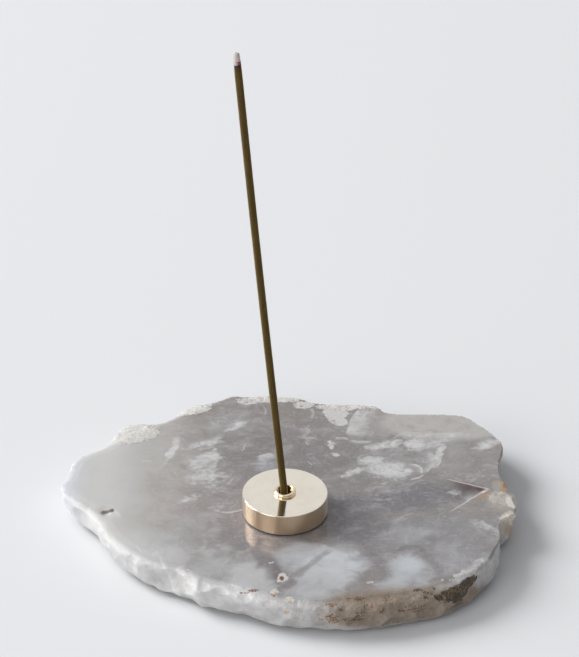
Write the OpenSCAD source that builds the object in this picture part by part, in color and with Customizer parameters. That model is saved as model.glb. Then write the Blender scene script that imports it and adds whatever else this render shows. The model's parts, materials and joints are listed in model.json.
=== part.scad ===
// Incense burner: a turned brass stick holder standing loose on a polished slice of chalcedony.
// Millimetres. +Z is up, and the origin lies on the table under the middle of the slab.

/* [Stone slab] */
// Width of the slab, left to right, at its widest section
slab_w = 163; // [140:1:200]
// Depth of the slab, front to back, at its widest section
slab_d = 135; // [115:1:165]
// Thickness between the two saw cuts
slab_t = 11; // [9:0.5:18]
// Depth of the widest section below the polished face
belly_drop = 4; // [2:0.5:6]
// How far the sawn underside is drawn in all round
undercut = 3; // [0:0.5:5]
// How far the wall leans to the right as it goes down
wall_lean_right = 1.5; // [0:0.5:4]
// How far the wall leans to the front as it goes down
wall_lean_front = 1.5; // [0:0.5:4]
// Height of the broken grain on the rough rind
grain = 0.8; // [0:0.1:1.2]
// Pattern of the grain
grain_seed = 11; // [1:1:99]

/* [Flaws in the stone] */
// Length of the notch at the right edge, from its corner inwards
notch_length = 13; // [8:1:18]
// Width of the notch where it runs out on the polished face
notch_width = 18; // [10:1:22]
// Depth of the notch at its corner
notch_depth = 2.5; // [1:0.5:5]
// Radius of the curved scar where a flake has left the lower front edge
scar_radius = 22; // [15:1:40]
// How deep the scar bites into the widest section
scar_bite = 1.5; // [1:0.5:4]
// Diameter of the round pit in the polished face
pit_d = 3; // [2:0.5:5]
// Depth of the pit
pit_depth = 0.8; // [0.4:0.1:1]

/* [Feet] */
// Diameter of a foot where it sticks to the stone
foot_d = 10; // [6:0.5:12]
// Height of a foot
foot_h = 2; // [1.5:0.1:4]
// Distance from the slab's left and right ends to the middle of a foot
foot_margin_x = 38; // [35:1:55]
// Distance from the slab's front and back to the middle of a foot
foot_margin_y = 43; // [40:1:52]

/* [Holder] */
// Left-to-right place of the holder on the slab
holder_x = -1; // [-20:0.5:20]
// Front-to-back place of the holder on the slab
holder_y = -11; // [-25:0.5:20]
// Diameter of the brass disc
disc_d = 30; // [22:0.5:45]
// Height of the brass disc
disc_h = 7.8; // [6:0.1:14]
// Chamfer at the disc's upper edge
disc_chamfer = 0.4; // [0.1:0.05:1]
// Brass left under the stick hole
floor_t = 1; // [0.6:0.1:2]
// Thickness of the pad under the disc
pad_t = 0.5; // [0.3:0.1:2]
// How far the pad stays inside the disc's edge
pad_inset = 0.5; // [0.2:0.1:2]

/* [Ferrule] */
// Diameter of the stick hole
bore_d = 4; // [3.6:0.1:6]
// Radius of the rounded bead round the hole
bead_r = 0.95; // [0.6:0.05:1.5]
// Height of the bead's centre above the disc
bead_lift = 0.3; // [0:0.05:0.5]
// Wall of the shank pressed into the disc
ferrule_wall = 0.6; // [0.4:0.05:1]
// Length of the shank inside the disc
ferrule_shank = 4; // [2:0.1:4.5]

/* [Incense stick] */
// Diameter of the incense stick
stick_d = 2.7; // [2:0.1:3.2]
// Length of unburnt incense, foot to char
stick_length = 166; // [60:1:230]
// Length of the glowing ember
ember_length = 1.2; // [0.5:0.1:3]
// Length of the ash still standing on the ember
ash_length = 3; // [1:0.1:8]
// How far the ash is thinner than the stick, on the diameter
ash_shrink = 0.2; // [0:0.05:0.6]
// Free space left between the stick and the hole at each touching point
stick_gap = 0.06; // [0.03:0.01:0.2]
// Compass direction of the stick's lean, from +X towards +Y
lean_heading = 126; // [0:1:359]

/* [Hidden] */

// Widest outline of the nodule, counter-clockwise from the notch at the right.
// Each point is [x, y, roll], where roll is how far inside it the polished face ends.
OUTLINE = [
    [79, 7, 1], [77.5, 12, 1], [77.5, 21, 1], [79.5, 29.5, 1], [78, 38, 1],
    [72, 46.5, 1], [67, 51.5, 1], [55.5, 53, 1], [44.5, 53, 1], [39, 54, 1], [35.5, 58.5, 2],
    [28.5, 60.5, 3], [20.5, 60.5, 3], [12.5, 62, 3], [4.5, 65.5, 3], [-7.5, 67, 3], [-12.5, 66, 2],
    [-18.5, 68, 3], [-25.5, 63, 2], [-29.5, 62, 2], [-34.5, 61, 5], [-38.5, 56.5, 5], [-43, 50, 2],
    [-47.5, 48.5, 3], [-53.5, 50.5, 9], [-58, 48.5, 12], [-61.5, 43.5, 9], [-63, 37, 4.5], [-66, 31, 1.5],
    [-71.5, 27, 1], [-75.5, 21.5, 0.5], [-77, 13, 0.5], [-78.5, 4, -1], [-75, -2.5, 0], [-71, -7.5, 1],
    [-66.5, -14, 1.5], [-63, -22, 1.5], [-58.5, -30, 2], [-51.5, -38, 2], [-45, -43.5, 3], [-37, -48, 4],
    [-30, -53.5, 5], [-17.5, -58, 5.5], [-5.5, -63.5, 6], [7.5, -66.5, 6], [21.5, -67, 7], [34.5, -65.5, 8],
    [46.5, -61.5, 7], [58, -56, 6], [67, -48, 4], [72.5, -40, 2], [75, -31, 1],
    [76, -18, 1], [79, -14.5, 2.5], [81, -10.5, 2], [81.5, -5, 3.5], [82.5, 0.5, 7], [81.5, 4.5, 6]
];
// Place of the pit on the drawn outline
PIT_AT = [-62, -11];
// Corner of the notch on the drawn outline
NOTCH_AT = [72.5, 3];
// Share of the notch's width behind its corner
NOTCH_SKEW = 0.3;
// Outline point at the middle of the scar
SCAR_POINT = 40;
// Columns of facets between two outline points
STEPS = 3;
// Rows of facets: shares of the drop above the belly, then of the drop below it.
// The first row stands above the upper saw cut and the last one hangs below the lower cut.
ROWS_ABOVE = [-0.12, 0.05, 0.2, 0.5, 1];
ROWS_BELOW = [0.35, 0.7, 1.2];
// Millimetres by which the nodule closes in for each millimetre above the upper saw cut
DOME_SLOPE = 2;
// Share of the grain that shows where the wall meets the polished face
RIM_GRAIN = 0.3;
// Extra grain for each millimetre of roll
ROLL_GRAIN = 0.04;
// Overrun of a cut past a face, so that no skin is left
OVERRUN = 1;
// Share of the foot's diameter left on the table
FOOT_TAPER = 0.8;
// Facets of turned pieces and of small round ones
TURNED = 96;
SMALL = 48;
// Radius of the ember's upper end, as a share of the stick's
EMBER_NECK = 0.9;
// Rounding of the ash, as a share of its radius
ASH_SHOULDER = 0.45;

slab_bottom = foot_h;
slab_top = slab_bottom + slab_t;
disc_bottom = slab_top + pad_t;
disc_top = disc_bottom + disc_h;
bore_r = bore_d / 2;
stick_r = stick_d / 2;
hole_floor = disc_bottom + floor_t;
throat = disc_top + bead_lift;

// The stick stands on the hole's floor against one side and leans on the bead at the other.
play = bore_r - stick_r - stick_gap;
lean = atan(2 * play / (throat - hole_floor));
stick_foot = [
    holder_x - play * cos(lean_heading),
    holder_y - play * sin(lean_heading),
    hole_floor + stick_r * sin(lean) + stick_gap
];

// ---- natural outline -------------------------------------------------------

function spline(a, b, c, d, t) =
    (2 * b + (c - a) * t + (2 * a - 5 * b + 4 * c - d) * t * t + (3 * b - a - 3 * c + d) * t * t * t) / 2;

function around(list, i) = list[(i + len(list)) % len(list)];

// The smooth closed curve through OUTLINE, as [x, y, roll], at its drawn size
CURVE = [
    for (i = [0 : len(OUTLINE) - 1], s = [0 : STEPS - 1])
        spline(around(OUTLINE, i - 1), OUTLINE[i], around(OUTLINE, i + 1), around(OUTLINE, i + 2), s / STEPS)
];
columns = len(CURVE);
xs = [for (c = CURVE) c[0]];
ys = [for (c = CURVE) c[1]];
// Scale from the drawn outline to this slab
scale_x = slab_w / (max(xs) - min(xs));
scale_y = slab_d / (max(ys) - min(ys));
roll_scale = (scale_x + scale_y) / 2;

row_drops = concat(
    [for (share = ROWS_ABOVE) belly_drop * share],
    [for (share = ROWS_BELOW) belly_drop + (slab_t - belly_drop) * share]
);
rows = len(row_drops);
GRIT = rands(-1, 1, columns * rows, grain_seed);

// How far the wall stands inside the widest outline at a drop below the polished face:
// a quarter ellipse down to the belly, then a curve that draws in towards the underside
function wall_inset(drop, roll) =
    drop < 0 ? roll - DOME_SLOPE * drop
    : drop < belly_drop ? roll * (1 - sqrt(1 - pow(1 - drop / belly_drop, 2)))
    : undercut * pow((drop - belly_drop) / (slab_t - belly_drop), 2);

// Sideways lean of the wall, which starts at the belly
function wall_lean(drop) =
    max(0, drop - belly_drop) / (slab_t - belly_drop) * [wall_lean_right, -wall_lean_front];

function grit_at(row, column) =
    let (near_rim = 1 - min(1, abs(row_drops[row]) / belly_drop))
    grain * GRIT[row * columns + column]
        * (1 - near_rim * (1 - RIM_GRAIN) + ROLL_GRAIN * CURVE[column][2]);

function wall_point(row, column) =
    let (
        drop = row_drops[row],
        flat = [CURVE[column][0] * scale_x, CURVE[column][1] * scale_y],
        inset = wall_inset(drop, CURVE[column][2] * roll_scale) - grit_at(row, column)
    )
    flat * (1 - inset / norm(flat)) + wall_lean(drop);

wall = [for (row = [0 : rows - 1]) [for (column = [0 : columns - 1]) wall_point(row, column)]];
cut_rows = [for (row = [1 : rows - 2], p = wall[row]) p];
low = [min([for (p = cut_rows) p.x]), min([for (p = cut_rows) p.y])];
high = [max([for (p = cut_rows) p.x]), max([for (p = cut_rows) p.y])];

// Centres a point on the origin and takes up what the grain adds to the width and depth
function fitted(p) = [
    (p.x - (low.x + high.x) / 2) * slab_w / (high.x - low.x),
    (p.y - (low.y + high.y) / 2) * slab_d / (high.y - low.y)
];

// Place on the slab of a point of the drawn outline
function on_slab(p) = fitted([p.x * scale_x, p.y * scale_y]);

// ---- stone ------------------------------------------------------------------

// The whole rough nodule, a little taller than the slab on both sides
module nodule() {
    points = concat(
        [for (row = [0 : rows - 1], p = wall[row]) [fitted(p).x, fitted(p).y, slab_top - row_drops[row]]],
        [[0, 0, slab_top - row_drops[0]], [0, 0, slab_top - row_drops[rows - 1]]]
    );
    upper_hub = rows * columns;
    lower_hub = upper_hub + 1;
    last = (rows - 1) * columns;
    faces = concat(
        [for (i = [0 : columns - 1]) [upper_hub, (i + 1) % columns, i]],
        [for (r = [0 : rows - 2], i = [0 : columns - 1])
            [r * columns + i, r * columns + (i + 1) % columns, (r + 1) * columns + i]],
        [for (r = [0 : rows - 2], i = [0 : columns - 1])
            [r * columns + (i + 1) % columns, (r + 1) * columns + (i + 1) % columns, (r + 1) * columns + i]],
        [for (i = [0 : columns - 1]) [lower_hub, last + i, last + (i + 1) % columns]]
    );
    polyhedron(points, faces);
}

// Everything between the two saw cuts
module saw_gap() {
    translate([-slab_w, -slab_d, slab_bottom]) cube([2 * slab_w, 2 * slab_d, slab_t]);
}

// A flake lifted out along a crack at the right edge: flat where it starts, deepest at its corner
module notch() {
    corner = on_slab(NOTCH_AT);
    back = corner + [-notch_length, notch_width * NOTCH_SKEW];
    front = corner + [-notch_length, -notch_width * (1 - NOTCH_SKEW)];
    polyhedron(
        [
            for (p = [back, front, corner]) [p.x, p.y, slab_top + OVERRUN],
            [back.x, back.y, slab_top], [front.x, front.y, slab_top],
            [corner.x, corner.y, slab_top - notch_depth]
        ],
        [[0, 2, 1], [3, 4, 5], [0, 1, 4, 3], [0, 3, 5, 2], [1, 2, 5, 4]]
    );
}

// A curved scar where a flake has sprung off the lower front edge
module scar() {
    belly = fitted(wall[len(ROWS_ABOVE) - 1][SCAR_POINT * STEPS]);
    centre = belly * (1 + (scar_radius - scar_bite) / norm(belly));
    translate([centre.x, centre.y, (slab_top + slab_bottom) / 2]) sphere(r = scar_radius, $fn = SMALL);
}

module pit() {
    ball_r = (pow(pit_d / 2, 2) + pow(pit_depth, 2)) / (2 * pit_depth);
    translate([on_slab(PIT_AT).x, on_slab(PIT_AT).y, slab_top - pit_depth + ball_r])
        sphere(r = ball_r, $fn = SMALL);
}

module stone_slab() {
    color([0.72, 0.7, 0.7])
        difference() {
            intersection() {
                nodule();
                saw_gap();
            }
            notch();
            scar();
            pit();
        }
}

// ---- feet ---------------------------------------------------------------------

module foot(side_x, side_y) {
    color([0.85, 0.87, 0.88, 0.6])
        translate([side_x * (slab_w / 2 - foot_margin_x), side_y * (slab_d / 2 - foot_margin_y), 0])
            cylinder(h = foot_h, d1 = foot_d * FOOT_TAPER, d2 = foot_d, $fn = TURNED);
}

module foot_front_left() { foot(-1, -1); }
module foot_front_right() { foot(1, -1); }
module foot_rear_left() { foot(-1, 1); }
module foot_rear_right() { foot(1, 1); }

// ---- holder ---------------------------------------------------------------------

module at_holder(z) { translate([holder_x, holder_y, z]) children(); }

module holder_disc() {
    r = disc_d / 2;
    shank_r = bore_r + ferrule_wall;
    color([0.83, 0.74, 0.56])
        at_holder(disc_bottom)
            rotate_extrude($fn = TURNED)
                polygon([
                    [0, 0], [r - disc_chamfer / 2, 0], [r, disc_chamfer / 2],
                    [r, disc_h - disc_chamfer], [r - disc_chamfer, disc_h],
                    [shank_r, disc_h], [shank_r, disc_h - ferrule_shank],
                    [bore_r, disc_h - ferrule_shank], [bore_r, floor_t], [0, floor_t]
                ]);
}

module holder_ferrule() {
    color([0.88, 0.76, 0.52])
        at_holder(disc_top)
            rotate_extrude($fn = TURNED) {
                intersection() {
                    translate([bore_r + bead_r, bead_lift]) circle(r = bead_r, $fn = TURNED);
                    square([2 * (bore_r + bead_r), bead_lift + bead_r]);
                }
                translate([bore_r, -ferrule_shank]) square([ferrule_wall, ferrule_shank + bead_lift]);
            }
}

module holder_pad() {
    color([0.12, 0.11, 0.1])
        at_holder(slab_top) cylinder(h = pad_t, d = disc_d - 2 * pad_inset, $fn = TURNED);
}

// ---- incense ----------------------------------------------------------------------

// Places children along the leaning stick, at a distance from its foot
module along_stick(distance) {
    translate(stick_foot)
        rotate([0, lean, lean_heading])
            translate([0, 0, distance]) children();
}

module incense_stick() {
    color([0.42, 0.35, 0.2])
        along_stick(0) cylinder(h = stick_length, r = stick_r, $fn = SMALL);
}

module ember_tip() {
    color([0.75, 0.35, 0.27])
        along_stick(stick_length)
            cylinder(h = ember_length, r1 = stick_r, r2 = stick_r * EMBER_NECK, $fn = SMALL);
}

module ash_tip() {
    ash_r = stick_r - ash_shrink / 2;
    shoulder = min(ash_length, ash_r) * ASH_SHOULDER;
    color([0.8, 0.74, 0.72])
        along_stick(stick_length + ember_length)
            rotate_extrude($fn = SMALL)
                polygon([
                    [0, 0], [stick_r * EMBER_NECK, 0], [ash_r, shoulder],
                    [ash_r, ash_length - shoulder], [ash_r - shoulder, ash_length], [0, ash_length]
                ]);
}

stone_slab();
foot_front_left();
foot_front_right();
foot_rear_left();
foot_rear_right();
holder_disc();
holder_ferrule();
holder_pad();
incense_stick();
ember_tip();
ash_tip();
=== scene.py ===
"""A turned brass stick holder on a polished slice of chalcedony, with a stick of incense burning in it."""
import json
import math

import bpy
import numpy as np
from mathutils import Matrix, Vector, noise
from mathutils.bvhtree import BVHTree
from mathutils.kdtree import KDTree


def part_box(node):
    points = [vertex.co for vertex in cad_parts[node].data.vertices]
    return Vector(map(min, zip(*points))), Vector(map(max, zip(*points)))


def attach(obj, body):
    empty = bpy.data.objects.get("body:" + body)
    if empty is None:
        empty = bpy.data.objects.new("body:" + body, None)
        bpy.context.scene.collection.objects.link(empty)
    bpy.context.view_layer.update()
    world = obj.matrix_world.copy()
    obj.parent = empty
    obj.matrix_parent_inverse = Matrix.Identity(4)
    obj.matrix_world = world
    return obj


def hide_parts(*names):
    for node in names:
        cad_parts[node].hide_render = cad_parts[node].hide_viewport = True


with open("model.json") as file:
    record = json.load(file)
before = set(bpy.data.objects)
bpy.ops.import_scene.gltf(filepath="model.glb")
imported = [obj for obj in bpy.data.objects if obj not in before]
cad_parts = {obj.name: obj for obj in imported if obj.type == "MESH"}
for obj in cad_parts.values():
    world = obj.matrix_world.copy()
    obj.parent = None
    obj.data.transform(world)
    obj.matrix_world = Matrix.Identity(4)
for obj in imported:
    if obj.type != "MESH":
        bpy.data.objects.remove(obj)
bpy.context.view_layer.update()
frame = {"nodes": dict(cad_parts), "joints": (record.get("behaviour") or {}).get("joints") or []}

MM = 0.001
UP = Vector((0, 0, 1))


def cos_sin(degrees):
    return math.cos(math.radians(degrees)), math.sin(math.radians(degrees))


# ---- places taken from the frame ----------------------------------------------------------------

def millimetres(node):
    """Lowest and highest corner of a node of the frame, in millimetres."""
    return [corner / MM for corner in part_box(node)]


SLAB_LOW, SLAB_HIGH = millimetres("stone_slab")
FACE_HEIGHT = SLAB_HIGH.z
SAWN_HEIGHT = SLAB_LOW.z
DISC_LOW, DISC_HIGH = millimetres("holder_disc")
HOLDER = Vector(((DISC_LOW.x + DISC_HIGH.x) / 2, (DISC_LOW.y + DISC_HIGH.y) / 2, 0))
DISC_RADIUS = (DISC_HIGH.x - DISC_LOW.x) / 2
FERRULE_LOW, FERRULE_HIGH = millimetres("holder_ferrule")
LEAN = Vector(next(j for j in frame["joints"] if j["name"] == "stick_pull")["axis"]).normalized()


def along_stick(node):
    """Where a node begins and ends along the leaning stick, and the middle of its lower end."""
    corners = np.array([v.co for v in frame["nodes"][node].data.vertices]) / MM
    heights = corners @ np.array(LEAN)
    low = corners[heights < heights.min() + 0.01]
    return heights.min(), heights.max(), Vector((low.min(0) + low.max(0)) / 2)


# ---- finishes: node trees written as expressions ------------------------------------------------

def shade(red, green, blue):
    """A colour named by its display values, 0 to 255, as the linear values of the nodes."""
    def linear(value):
        value /= 255
        return value / 12.92 if value <= 0.04045 else ((value + 0.055) / 1.055) ** 2.4
    return (linear(red), linear(green), linear(blue), 1)


def dimmed(colour, share):
    """A share of a colour's light."""
    return tuple(share * value for value in colour[:3]) + (1,)


class Tone:
    """A number, colour or direction that varies over a surface: one output of a finish."""

    def __init__(self, finish, socket):
        self.finish, self.socket = finish, socket

    def combined(self, operation, first, second):
        maths = self.finish.maths if self.socket.type == "VALUE" else self.finish.vector_maths
        return maths(operation, first, second)

    def __add__(self, other):
        return self.combined("ADD", self, other)

    def __radd__(self, other):
        return self.combined("ADD", other, self)

    def __sub__(self, other):
        return self.combined("SUBTRACT", self, other)

    def __rsub__(self, other):
        return self.combined("SUBTRACT", other, self)

    def __mul__(self, other):
        """A direction times a number is scaled, whichever of the two comes first."""
        if self.socket.type == "VALUE" and isinstance(other, Tone) and other.socket.type != "VALUE":
            return other * self
        if self.socket.type != "VALUE" and not isinstance(other, tuple) and (
                not isinstance(other, Tone) or other.socket.type == "VALUE"):
            return self.finish.node(
                "ShaderNodeVectorMath", {"operation": "SCALE"}, {0: self, "Scale": other})
        return self.combined("MULTIPLY", self, other)

    def __rmul__(self, other):
        return self * other


class Finish:
    """Builds one node tree. A socket is named, or given by its number where names repeat."""

    def __init__(self, owner):
        owner.use_nodes = True
        self.owner, self.tree = owner, owner.node_tree
        self.tree.nodes.clear()
        self.turns = {}

    def node(self, kind, settings=None, sockets=None, output=0):
        """Adds a node: its settings first, then the values or links of its sockets."""
        made = self.tree.nodes.new(kind)
        for name, value in (settings or {}).items():
            setattr(made, name, value)
        for name, value in (sockets or {}).items():
            socket = made.inputs[name]
            if isinstance(value, Tone):
                self.tree.links.new(value.socket, socket)
            else:
                socket.default_value = value
        return Tone(self, made.outputs[output]) if made.outputs else None

    def maths(self, operation, *values):
        return self.node("ShaderNodeMath", {"operation": operation}, dict(enumerate(values)))

    def vector_maths(self, operation, *values, output=0):
        return self.node("ShaderNodeVectorMath", {"operation": operation}, dict(enumerate(values)), output)

    def spot(self, x=0.0, y=0.0, z=0.0):
        """Metres in the frame of the part, shifted for noise that must differ from its neighbour."""
        spot = self.node("ShaderNodeTexCoord", output="Object")
        if not (x or y or z):
            return spot
        return self.node("ShaderNodeMapping", sockets={"Vector": spot, "Location": (x, y, z)})

    def place(self):
        """Millimetres in the frame of the part, at every point of the surface."""
        return self.spot() * (1 / MM)

    def split(self, direction):
        made = self.node("ShaderNodeSeparateXYZ", sockets={0: direction})
        return [Tone(self, output) for output in made.socket.node.outputs]

    def joined(self, x, y, z):
        return self.node("ShaderNodeCombineXYZ", sockets={0: x, 1: y, 2: z})

    def smooth(self, value, low, high, most=1.0):
        """0 where value is at low, most where it is at high, with an easy curve between."""
        return self.node("ShaderNodeMapRange", {"interpolation_type": "SMOOTHSTEP", "clamp": False},
                         {"Value": value, "From Min": low, "From Max": high, "To Max": most})

    def blend(self, share, below, above):
        """The colour below, covered by a share of the colour above."""
        return self.node("ShaderNodeMix", {"data_type": "RGBA"}, {0: share, 6: below, 7: above}, output=2)

    def larger(self, first, second):
        return self.maths("MAXIMUM", first, second)

    def unsigned(self, value):
        return self.maths("ABSOLUTE", value)

    def cloud(self, where, size, detail=2.0, roughness=0.5, **sockets):
        """Soft noise whose lumps are about as large as size."""
        return self.node("ShaderNodeTexNoise", sockets={
            "Vector": where, "Scale": 1 / size, "Detail": detail, "Roughness": roughness, **sockets})

    def cells(self, where, size, output=0):
        """Grains about as large as size: how far a place lies from a grain's heart, or their colours."""
        return self.node("ShaderNodeTexVoronoi", sockets={"Vector": where, "Scale": 1 / size}, output=output)

    def dot(self, direction, other):
        return self.vector_maths("DOT_PRODUCT", direction, other, output="Value")

    def turned_by(self, where, degrees):
        """The same place on axes turned by a number of degrees. Each turn of a place is made once."""
        if not degrees:
            return where
        key = (where.socket, degrees)
        if key not in self.turns:
            cosine, sine = cos_sin(degrees)
            self.turns[key] = self.joined(
                self.dot(where, (cosine, sine, 0)), self.dot(where, (-sine, cosine, 0)), 0)
        return self.turns[key]

    def oval(self, where, x, y, wide, deep, turn=0):
        """1 in the middle of an oval, 0 at its edge and less outside. Turns go in steps of 15 degrees."""
        turn = round(turn / 15) * 15 % 180
        cosine, sine = cos_sin(turn)
        middle_x, middle_y = x * cosine + y * sine, y * cosine - x * sine
        away = self.vector_maths("MULTIPLY_ADD", self.turned_by(where, turn), (1 / wide, 1 / deep, 0),
                                 (-middle_x / wide, -middle_y / deep, 0))
        return 1 - self.dot(away, away)

    def stroke(self, where, start, end, bow, reach, shift):
        """How far along a bowed line a place lies, squared, and how far to the left of it, over reach."""
        along = Vector(end) - Vector(start)
        half, along = along.length / 2, along.normalized()
        left = Vector((-along.y, along.x))
        middle = (Vector(start) + Vector(end)) / 2 + left * (bow - shift * reach)
        away = where - (middle.x, middle.y, 0)
        length = self.dot(away, (along.x / half, along.y / half, 0))
        squared = length * length
        beside = self.dot(away, (left.x / reach, left.y / reach, 0))
        return squared, self.maths("MULTIPLY_ADD", squared, bow / reach, beside)

    def fold(self, where, start, end, bow, soft, strength):
        """A fold of milk in the stone: a sharp, bowed edge from start to end that fades out to one side.

        It bows and fades to the left of its direction, or to the right where the number is negative. The
        edge is as sharp on a wide fold as on a narrow one.
        """
        squared, across = self.stroke(where, start, end, bow, soft * 1.25, 0.2)
        faded = self.smooth(across, 1, 0.2, strength) * self.smooth(squared, 1, 0.3)
        edge_from, edge_to = min(0.06, 0.2 / abs(soft)), min(0.2, 0.8 / abs(soft))
        return self.smooth(across, edge_from, edge_to) * faded

    def vein(self, where, start, end, bow, width, strength):
        """A soft, bowed line of one width."""
        squared, across = self.stroke(where, start, end, bow, width, 0)
        return self.smooth(across * across, 1, 0, strength) * self.smooth(squared, 1, 0.4)

    def densest(self, masks):
        """The largest of many masks at each place."""
        masks = iter(masks)
        most = next(masks)
        for mask in masks:
            most = self.larger(most, mask)
        return most

    def relief(self, height, depth):
        """Bump whose full height is depth millimetres."""
        return self.node("ShaderNodeBump", sockets={
            "Height": height, "Distance": depth * MM, "Strength": 1.0}, output="Normal")

    def surface(self, **sockets):
        named = {name.replace("_", " "): value for name, value in sockets.items()}
        shader = self.node("ShaderNodeBsdfPrincipled", sockets=named)
        self.node("ShaderNodeOutputMaterial", sockets={"Surface": shader})
        return self.owner


def material(name):
    return Finish(bpy.data.materials.new(name))


# ---- the stone's finish -------------------------------------------------------------------------

# How far a vein carried down the broken wall shows nearer than it lies, for each millimetre of depth
VEIN_DIP = 1.36
# What the polish reflects of a pale room, taken off the tones of the stone under it
POLISH = 0.055


def mineral(red, green, blue):
    """A tone of the stone as it looks under its polish."""
    return tuple(max(0.01, value - POLISH) for value in shade(red, green, blue)[:3]) + (1,)


# The stone's own grey, and the marks that cover it one after another. Each x is counted from the
# holder's axis and each y from the middle of the part, in millimetres on the face.
GREY = mineral(146, 141, 140)
# Broad regions, partly the stone's own tone and partly painted reflection, paler to the left and darker to
# the right: middle x, y, half width, half depth, turn, softness, strength, tone
REGIONS = [
    (-6, 62, 48, 30, 0, 0.9, 0.8, (144, 138, 134)),
    (2, 24, 30, 22, 0, 0.9, 0.75, (136, 131, 131)),
    (30, 48, 14, 16, 60, 0.9, 0.8, (158, 152, 148)),
    (58, 45, 26, 14, 0, 0.5, 0.95, (186, 182, 178)),
    (70, 22, 17, 16, 0, 0.8, 0.7, (152, 147, 143)),
    (72, -12, 16, 16, 0, 0.9, 0.7, (153, 148, 144)),
    (52, -24, 30, 14, 10, 0.9, 0.6, (149, 149, 151)),
    (22, -14, 13, 19, 0, 0.9, 0.9, (120, 117, 120)),
    (44, -2, 28, 10, 22, 0.9, 0.9, (128, 125, 128)),
    (64, 1, 9, 7, 0, 0.8, 0.8, (124, 119, 120)),
    (-12, -26, 16, 10, 0, 0.9, 0.6, (142, 136, 137)),
    (-31, -6, 9, 12, 0, 0.9, 0.5, (158, 150, 148)),
    (-48, -34, 20, 15, -30, 0.9, 0.8, (200, 201, 202)),
]
# Milky clouds: middle x, y, half width, half depth, turn, softness, strength, tone
CLOUDS = [
    (-26, -50, 22, 20, 20, 0.9, 0.7, (184, 184, 185)),
    (-11, -53, 9, 15, 12, 0.7, 0.85, (190, 190, 191)),
    (4, -38, 9.5, 12, -35, 0.9, 0.9, (184, 185, 188)),
    (11, -33, 7, 4, -10, 0.8, 0.6, (180, 181, 184)),
    (18, -43, 12, 16, -30, 1, 1, (198, 201, 204)),
    (11, -53, 9, 9, -35, 0.7, 0.85, (186, 187, 189)),
    (10, -60, 13, 5, 0, 1, 0.8, (186, 186, 187)),
    (47, -57, 15, 4.5, 15, 1, 0.7, (172, 168, 160)),
    (42, -48, 9, 12, -15, 1, 0.85, (188, 191, 195)),
    (43, -42, 6, 7, 0, 1.1, 0.9, (198, 202, 206)),
    (36, -56, 8, 6, 30, 1.1, 0.7, (180, 182, 184)),
    (50, -47, 5, 3, 30, 1, 0.5, (176, 178, 181)),
    (43, -25, 9, 6.5, 12, 0.9, 0.75, (168, 168, 170)),
    (60, -40, 15, 12, 25, 0.9, 0.6, (164, 164, 166)),
    (-7, 18, 5, 5.5, 0, 0.9, 0.6, (172, 173, 178)),
    (-20, 46, 12, 12, 30, 0.9, 0.5, (170, 168, 169)),
    (58, 26, 12, 14, 0, 0.9, 0.55, (166, 163, 162)),
    (-46, 28, 9, 20, -20, 0.9, 0.35, (190, 188, 186)),
    (-36, -24, 16, 12, 20, 0.9, 0.5, (170, 169, 169)),
    (36, 21, 13, 11, 15, 1.2, 0.5, (176, 174, 176)),
    (52, 24, 6, 11, -15, 1.2, 0.35, (176, 173, 174)),
]
# Veins between the clouds: start, end, bow, width, strength
VEINS = [
    ((17, -32.5), (4, -51), -0.6, 1.6, 0.5), ((-5.4, -39), (-2, -55.5), 1.0, 1.8, 0.6),
    ((-8.9, -36.2), (-3.6, -53), 1.6, 4, 0.5), ((3.6, -50.6), (-1.6, -56), 0.8, 2.0, 0.65),
    ((39, -17), (24, -31), -1.2, 3.4, 0.7), ((24.5, -31), (35.5, -51), 2.2, 3.2, 0.5),
    ((36.5, -36), (50, -36), 3.4, 2.2, 0.7), ((49, -36), (54, -50), 0.5, 2.2, 0.4),
]
# Feathery patches of milk: middle x, y, half length, half width, turn, strength
WISPS = [
    (-29, 21.5, 6.5, 3.4, 40, 1), (-29, 11, 6.5, 4, 20, 0.9), (-25.5, 24.5, 1.6, 4.5, 0, 0.9),
    (-30, 31.5, 7, 1.8, 15, 0.9), (-18, 43.5, 5.5, 1.7, 45, 0.9), (-22, 48, 7, 4, 15, 0.5),
    (-41, 28.2, 8, 1.5, 75, 0.95), (-25, 4, 6, 4.5, 30, 0.55), (-33, -2.5, 5, 2, 30, 0.7),
    (-8, 21, 3.6, 4.6, 0, 0.6), (8.5, 38, 2.6, 6.5, 15, 0.6), (36.4, 31, 6.6, 2.4, 15, 1),
    (33, 26.5, 9, 1.6, 15, 0.5), (48, 31, 4.2, 3.4, 150, 1.05), (30.8, 20.8, 4.2, 3, 0, 1.05),
    (36.5, 15.2, 7, 5.5, 0, 1), (41, 12.4, 3.5, 4, 0, 0.9), (34.5, 6.5, 7, 2.4, 45, 0.6),
    (23.6, 13.4, 5, 1.8, 30, 1), (44.4, 14.6, 1.6, 1.8, 0, 1.1), (56, 25, 1.5, 7.5, -15, 0.95),
    (55, 32, 4.5, 2.2, 30, 0.85), (50, 22, 3, 6, -15, 0.45), (53.5, 37.5, 14, 2.2, 0, 0.7),
    (74.2, 31.5, 5.5, 2, 30, 1), (61, 0.8, 2.5, 1.4, 15, 0.9), (71, -20.5, 7, 2.2, 135, 0.7),
    (36, 4, 9, 6, 60, 0.45), (41, -15, 4.5, 2.5, 15, 0.5), (-24, -8, 4, 2.5, 30, 0.6),
    (1, -12, 2.5, 1.5, 15, 0.5), (-8, -27, 4.5, 2.5, 15, 0.5), (70, 12, 7, 5, 15, 0.5),
    (24, 4, 4, 3, 15, 0.4), (-34, -50, 2.5, 6.5, 15, 0.85), (67, -42.5, 6, 2, 30, 0.8),
    (58, 37, 9, 1.4, 0, 0.6),
]
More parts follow.
